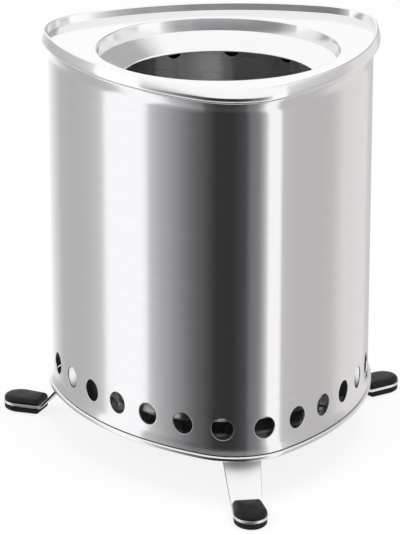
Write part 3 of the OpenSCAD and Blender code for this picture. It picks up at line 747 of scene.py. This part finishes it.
def foot_rings(heading, profile, hub_profile):
    """Rings of a moulding: the foot's plan moved out by each offset of profile, at its height.

    hub_profile continues with circles round the screw's axis, given as (radius, height).
    """
    outline, normal = foot_outline()
    offset, height = np.array(profile).T
    plan = outline[None] + normal[None]*offset[:, None, None]
    spoke = outline - [foot_middle, 0]
    spoke /= np.linalg.norm(spoke, axis=1)[:, None]
    radius, hub_height = np.array(hub_profile).T
    hub = spoke[None]*radius[:, None, None] + [foot_middle, 0]
    rings = np.concatenate([plan, hub])
    heights = np.concatenate([height, hub_height])[:, None]
    return in_corner(heading, rings[..., 0], rings[..., 1], heights)


cap_plastic = moulded("foot_cap_plastic", (0.008, 0.008, 0.009), 0.42, 0.15, 0.0006, 0.00002)
sole_rubber = moulded("foot_sole_rubber", (0.010, 0.010, 0.011), 0.55, 0.2, 0.0009, 0.00004)
for heading_degrees, corner in ((-90, "front"), (30, "right"), (150, "left")):
    heading = np.radians(heading_degrees)
    body = "leg_" + corner
    add_piece("leg_strip_" + corner, [(leg_grid(heading), False, True)], strip_steel, body, "leg_strip",
              "leg_plate_" + corner)
    cap_rings = foot_rings(heading, cap_profile, cap_hub)
    cap_under = foot_rings(heading, cap_profile[:1], [(0, cap_base)])
    add_piece("foot_top_" + corner, [(cap_rings, False, True), (cap_under, False, True)],
              cap_plastic, body, "foot_cap", "foot_cap_" + corner)
    sole_rings = foot_rings(heading, sole_profile, sole_hub)
    sole_over = foot_rings(heading, sole_profile[:1], [(0, sole_high)])
    add_piece("foot_sole_" + corner, [(sole_rings, False, True), (sole_over, False, True)],
              sole_rubber, body, "foot_sole", "foot_pad_" + corner)

# Fasteners and small sheet parts. Brackets, tabs and standoffs are folded from galvanised sheet, and
# the pins, rivets and screws are bright zinc-plated steel.
fastener_steel = brushed_steel("fastener_steel", (0.62, 0.62, 0.63), 0.28, (90, 90, 400), 0.00001,
                               smudge=0.08)[0]
fastened = ("foot_screw", "hinge_bracket", "hinge_pin", "bracket_rivets", "standoff_rivets",
            "drum_standoff", "ring_tab")
for node_name, node_object in frame["nodes"].items():
    if node_name.startswith(fastened):
        node_object.data.materials.clear()
        node_object.data.materials.append(fastener_steel)

# Floor. A plain pale sheet that runs out of every view. The camera sees it nearly white, with the
# pit's shadow on it, and the metal mirrors the studio's floor instead.
floor_half = 30.0
floor_glow_share = 0.8
floor_corners = np.array([(-1, -1, 0), (1, -1, 0), (1, 1, 0), (-1, 1, 0)])*floor_half
floor_mesh = bpy.data.meshes.new("floor")
floor_mesh.from_pydata(floor_corners, [], [(0, 1, 2, 3)])
floor = bpy.data.objects.new("floor", floor_mesh)
bpy.context.scene.collection.objects.link(floor)
floor.visible_glossy = False
floor_paint, floor_shader, floor_add, floor_link = new_material("floor_paint")
floor_shader.inputs["Base Color"].default_value = (0.95, 0.95, 0.95, 1)
floor_shader.inputs["Roughness"].default_value = 0.9
floor_shader.inputs["Specular IOR Level"].default_value = 0.0
floor_path = floor_add("ShaderNodeLightPath")
floor_glow = floor_add("ShaderNodeEmission", {"Color": (1, 1, 1, 1), "Strength": 1})
seen = worked_out(floor_add, "MULTIPLY", floor_path.outputs["Is Camera Ray"], floor_glow_share)
floor_mix = floor_add("ShaderNodeMixShader", {"Fac": seen})
floor_link(floor_shader.outputs[0], floor_mix.inputs[1])
floor_link(floor_glow.outputs[0], floor_mix.inputs[2])
floor_link(floor_mix.outputs[0], floor_paint.node_tree.nodes["Material Output"].inputs["Surface"])
floor_mesh.materials.append(floor_paint)

# Studio. A plain white room, which bare metal mirrors with white walls and ceiling, a dark part behind
# the camera, and one bright strip between that and the grey wall on the right.
world = bpy.data.worlds.new("studio")
bpy.context.scene.world = world
world.use_nodes = True
world.node_tree.nodes.clear()
sky_add = node_adder(world.node_tree)
# Brightness of the studio's walls by direction, in degrees from +X, counter-clockwise
WALL_TONES = [(-180, 1.2), (-179, 1.2), (-177.5, 0.64), (-172, 0.50), (-164, 0.31), (-158, 0.18),
              (-154, 0.11), (-140, 0.065), (-130, 0.035), (-102, 0.03), (-92, 0.05), (-80, 0.08),
              (-72, 0.19), (-58, 0.26), (-50, 0.46), (-44, 0.72), (-39, 1.14), (-18, 1.16),
              (-12, 0.68), (-6, 0.60), (12, 0.59), (20, 0.62), (30, 0.83), (55, 0.85), (62, 0.66),
              (76, 0.62), (82, 1.1), (104, 1.1), (112, 0.86), (122, 0.56), (136, 0.54), (148, 0.59),
              (156, 0.70), (159, 1.2), (180, 1.2)]
# Brightness of the ceiling by direction: white but for a grey panel behind the pit on the right
CEILING_TONES = [(-180, 1.08), (20, 1.08), (30, 0.50), (68, 0.46), (76, 1.08), (180, 1.08)]
OVERHEAD_TONE = 1.08
# How far the wall's tone gives way to white by the direction's height: floor, walls, ceiling
WHITE_SHARE = [(-1, 0.95), (-0.87, 0.95), (-0.81, 0), (-0.08, 0), (0.10, 0.12), (0.17, 0.28),
               (0.24, 1), (1, 1)]
WHITE = (1, 1, 1, 1)


def sky_curve(value, low, high, points):
    """A straight-sided curve through points (value, brightness), for a value between low and high."""
    node = sky_add("ShaderNodeFloatCurve", {"Value": remap(sky_add, value, low, high)})
    curve = node.mapping.curves[0]
    brightest = max(brightness for place, brightness in points)
    spots = [((place - low)/(high - low), brightness/brightest) for place, brightness in points]
    curve.points[0].location, curve.points[1].location = spots[0], spots[-1]
    for spot in spots[1:-1]:
        curve.points.new(*spot)
    for point in curve.points:
        point.handle_type = "VECTOR"
    node.mapping.update()
    return worked_out(sky_add, "MULTIPLY", node.outputs[0], brightest)


def sky_mix(share, first, second):
    """The first value where share is 0, the second where it is 1, and a mix between."""
    return sky_add("ShaderNodeMix", {0: share, 2: first, 3: second}).outputs[0]


def round_the_room(tones):
    """The brightness of a list of tones, each at a direction in degrees, at the ray's own direction."""
    return sky_curve(ray_turn, -np.pi, np.pi, [(np.radians(turn), tone) for turn, tone in tones])


ray = sky_add("ShaderNodeSeparateXYZ", {0: sky_add("ShaderNodeTexCoord").outputs["Generated"]})
ray_turn = worked_out(sky_add, "ARCTAN2", ray.outputs[1], ray.outputs[0])
ray_height = ray.outputs[2]
overhead = remap(sky_add, ray_height, 0.7, 0.88)
ceiling = sky_mix(overhead, round_the_room(CEILING_TONES), OVERHEAD_TONE)
white_share = sky_curve(ray_height, -1, 1, WHITE_SHARE)
mirrored = sky_mix(white_share, round_the_room(WALL_TONES), ceiling)
tints = colour_ramp(sky_add, remap(sky_add, ray_turn, -np.pi, np.pi),
                    (0, (0.97, 0.97, 1.0)), (0.28, (0.93, 0.92, 1.0)), (0.38, (1, 0.99, 0.99)),
                    (0.6, (1.0, 0.965, 0.955)), (0.8, (0.99, 0.98, 1.0)), (1, (0.98, 0.975, 1.0)))
paths = sky_add("ShaderNodeLightPath")
plain = sky_mix(paths.outputs["Is Diffuse Ray"], 1.0, 0.75)
strength = sky_mix(paths.outputs["Is Glossy Ray"], plain, mirrored)
tinted_walls = mixed_colour(sky_add, white_share, tints, WHITE)
sky_colour = mixed_colour(sky_add, paths.outputs["Is Glossy Ray"], WHITE, tinted_walls)
background = sky_add("ShaderNodeBackground", {"Color": sky_colour, "Strength": strength})
sky_add("ShaderNodeOutputWorld", {"Surface": background.outputs[0]})

# Camera. A long lens from the front, a little to the left and above, as the photograph was taken. It
# is tilted down and has no shift, so that the pit stays in the middle of the other views.
camera_turn = np.radians(-97.87)
camera_reach = 2.7
camera_pitch = 0.332
aim_height = 0.165
aim_left = 0.0163
sensor = 0.036
picture_height = 535
focal_pixels = 3166
camera_data = bpy.data.cameras.new("camera")
camera = bpy.data.objects.new("camera", camera_data)
bpy.context.scene.collection.objects.link(camera)
camera_data.sensor_width = 1000*sensor
camera_data.lens = 1000*sensor*focal_pixels/picture_height
camera_way = np.array([np.cos(camera_turn), np.sin(camera_turn)])
left_way = np.array([camera_way[1], -camera_way[0]])
aim = np.array([0, axis_y]) + left_way*aim_left
camera.location = (*(aim + camera_way*camera_reach), aim_height + camera_reach*np.tan(camera_pitch))
camera.rotation_euler = (np.pi/2 - camera_pitch, 0, camera_turn + np.pi/2)
bpy.context.scene.camera = camera

# Lamps. A broad soft lamp over the pit and one from the left light the feet, the floor and the drum.
# Neither shows in the metal, which mirrors the studio alone.
lamp_target = np.array([0, axis_y, 0.15])
for lamp_name, lamp_place, lamp_size, lamp_power in (("lamp_over", (0.3, -0.4, 2.4), 2.0, 26),
                                                     ("lamp_left", (-2.0, -1.2, 1.6), 1.4, 14)):
    lamp_data = bpy.data.lights.new(lamp_name, "AREA")
    lamp_data.shape = "SQUARE"
    lamp_data.size = lamp_size
    lamp_data.energy = lamp_power
    lamp = bpy.data.objects.new(lamp_name, lamp_data)
    bpy.context.scene.collection.objects.link(lamp)
    lamp.location = lamp_place
    toward = lamp_target - lamp_place
    lamp_tilt = np.arccos(-toward[2]/np.linalg.norm(toward))
    lamp.rotation_euler = (lamp_tilt, 0, np.arctan2(toward[1], toward[0]) - np.pi/2)
    lamp.visible_camera = False
    lamp.visible_glossy = False

bpy.context.scene.view_settings.view_transform = "Standard"
